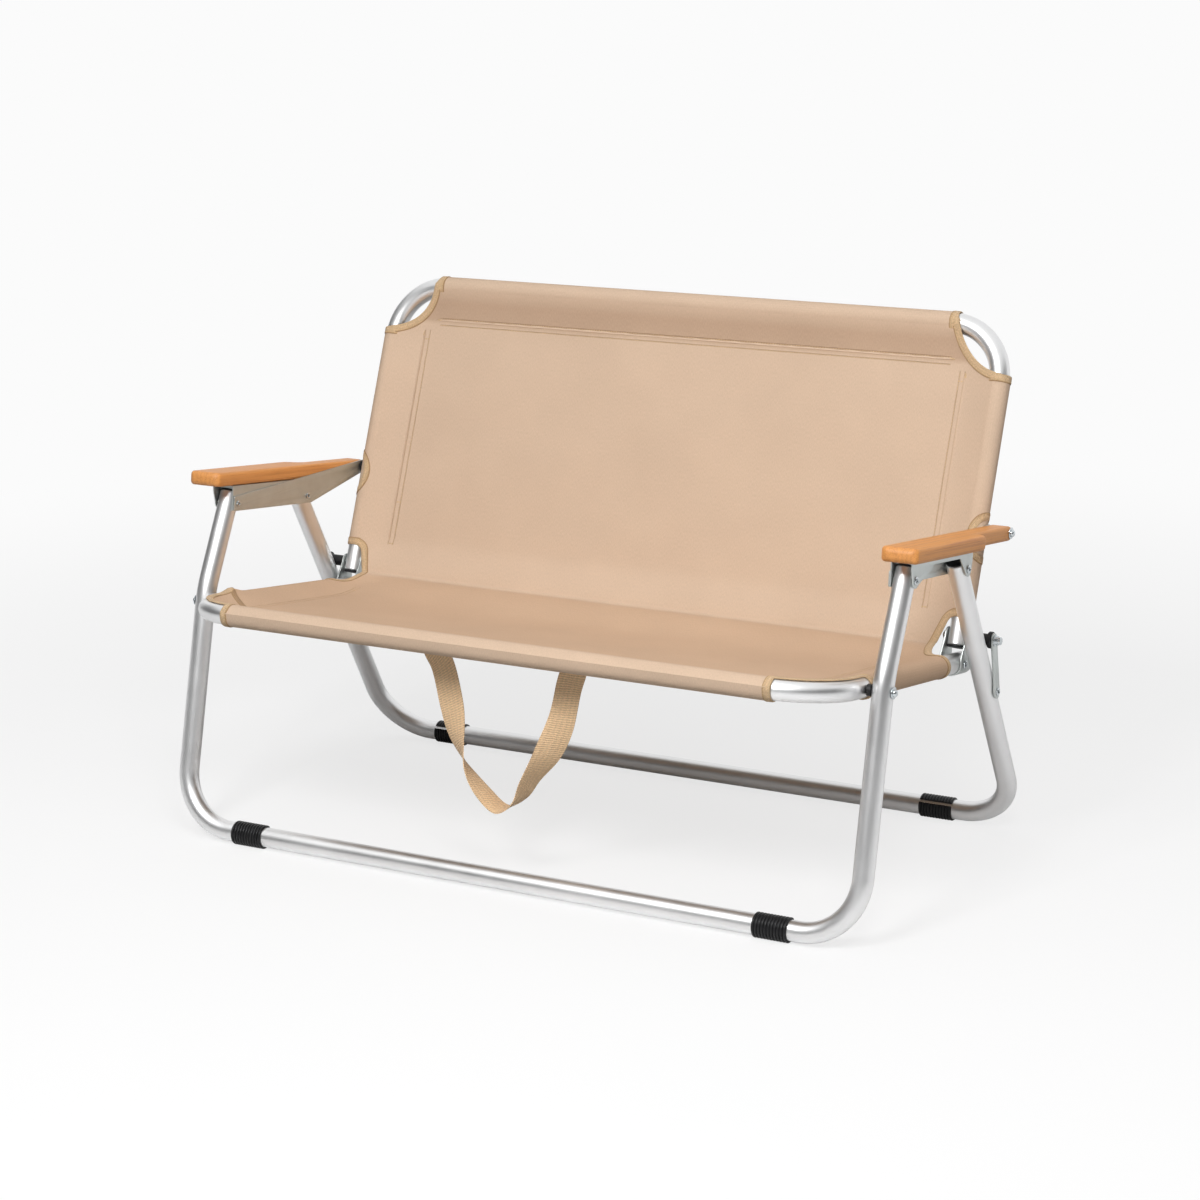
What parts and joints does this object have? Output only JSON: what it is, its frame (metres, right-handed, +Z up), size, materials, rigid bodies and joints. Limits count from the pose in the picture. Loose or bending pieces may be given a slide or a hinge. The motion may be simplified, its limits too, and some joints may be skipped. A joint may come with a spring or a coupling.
{
  "type": "folding camping bench",
  "caption": "Wide folding camping bench: bent aluminium tube frames, tan fabric sling seat and back, wooden armrests, ribbed rubber feet and a webbing carry strap.",
  "frame": {"origin": "on the floor under the middle of the overall box", "axes": "+X to the right end as seen from the front, +Y from the front to the rear, +Z up"},
  "size_m": [1.1204, 0.6147, 0.7245],
  "materials": {
    "aluminium_tube": "smooth drawn tube, satin bright",
    "sling_fabric": "heavy plain-weave cloth, tan",
    "webbing": "ribbed flat webbing, khaki",
    "beech": "oiled beech, rounded edges",
    "foot_rubber": "matt ribbed rubber",
    "black_plastic": "moulded black plastic",
    "bright_steel": "bright plated fasteners",
    "zinc_steel": "zinc-plated sheet steel"
  },
  "bodies": {
    "seat": {"seat_frame": "aluminium_tube", "seat_fabric": "sling_fabric", "carry_strap": "webbing", "seat_end_plug_right": "black_plastic", "seat_end_plug_left": "black_plastic", "hinge_bracket_right": "zinc_steel", "hinge_bracket_left": "zinc_steel", "bracket_rivet_right": "bright_steel", "bracket_rivet_left": "bright_steel", "hinge_bolt_right": "bright_steel", "hinge_bolt_left": "bright_steel", "hinge_nut_right": "bright_steel", "hinge_nut_left": "bright_steel", "hinge_spacer_right": "black_plastic", "hinge_spacer_left": "black_plastic"},
    "back": {"back_frame": "aluminium_tube", "back_fabric": "sling_fabric", "back_end_plug_right": "black_plastic", "back_end_plug_left": "black_plastic"},
    "front_legs": {"front_leg_frame": "aluminium_tube", "front_leg_plug_right": "black_plastic", "front_leg_plug_left": "black_plastic", "front_foot_right": "foot_rubber", "front_foot_left": "foot_rubber", "front_pivot_bolt_right": "bright_steel", "front_pivot_bolt_left": "bright_steel", "front_pivot_spacer_right": "black_plastic", "front_pivot_spacer_left": "black_plastic", "front_pivot_nut_right": "bright_steel", "front_pivot_nut_left": "bright_steel"},
    "armrests": {"armrest_wood_right": "beech", "armrest_wood_left": "beech", "armrest_channel_right": "zinc_steel", "armrest_channel_left": "zinc_steel", "armrest_bar_right": "zinc_steel", "armrest_bar_left": "zinc_steel", "armrest_front_rivet_right": "bright_steel", "armrest_front_rivet_left": "bright_steel", "armrest_rear_rivet_right": "bright_steel", "armrest_rear_rivet_left": "bright_steel", "armrest_screw_1_right": "bright_steel", "armrest_screw_1_left": "bright_steel", "armrest_screw_2_right": "bright_steel", "armrest_screw_2_left": "bright_steel", "armrest_back_bolt_right": "bright_steel", "armrest_back_bolt_left": "bright_steel", "armrest_back_spacer_right": "black_plastic", "armrest_back_spacer_left": "black_plastic"},
    "rear_legs": {"rear_leg_frame": "aluminium_tube", "rear_leg_plug_right": "black_plastic", "rear_leg_plug_left": "black_plastic", "rear_foot_right": "foot_rubber", "rear_foot_left": "foot_rubber"},
    "links": {"link_right": "zinc_steel", "link_left": "zinc_steel", "link_rivet_right": "bright_steel", "link_rivet_left": "bright_steel"}
  },
  "joints": [
    {"name": "back_fold", "type": "hinge", "parent": "seat", "child": "back", "pos_m": [0, 0.13016, 0.3106], "axis": [1, 0, 0], "range_deg": [0, 96]},
    {"name": "front_leg_fold", "type": "hinge", "parent": "seat", "child": "front_legs", "pos_m": [0, -0.19902, 0.32455], "axis": [1, 0, 0], "range_deg": [0, 89.2]},
    {"name": "armrest_fold", "type": "hinge", "parent": "front_legs", "child": "armrests", "pos_m": [0, -0.13412, 0.45486], "axis": [1, 0, 0], "range_deg": [-95, 0]},
    {"name": "rear_leg_fold", "type": "hinge", "parent": "armrests", "child": "rear_legs", "pos_m": [0, 0.03819, 0.43064], "axis": [1, 0, 0], "range_deg": [0, 54.1]},
    {"name": "link_fold", "type": "hinge", "parent": "seat", "child": "links", "pos_m": [0, 0.13016, 0.3106], "axis": [1, 0, 0], "range_deg": [-89.3, 0]}
  ],
  "couplings": [
    {"joint": "front_leg_fold", "follows": "back_fold", "ratio": 0.9274},
    {"joint": "armrest_fold", "follows": "back_fold", "ratio": -0.98776},
    {"joint": "rear_leg_fold", "follows": "back_fold", "ratio": 0.5617},
    {"joint": "link_fold", "follows": "back_fold", "ratio": -0.92767}
  ]
}
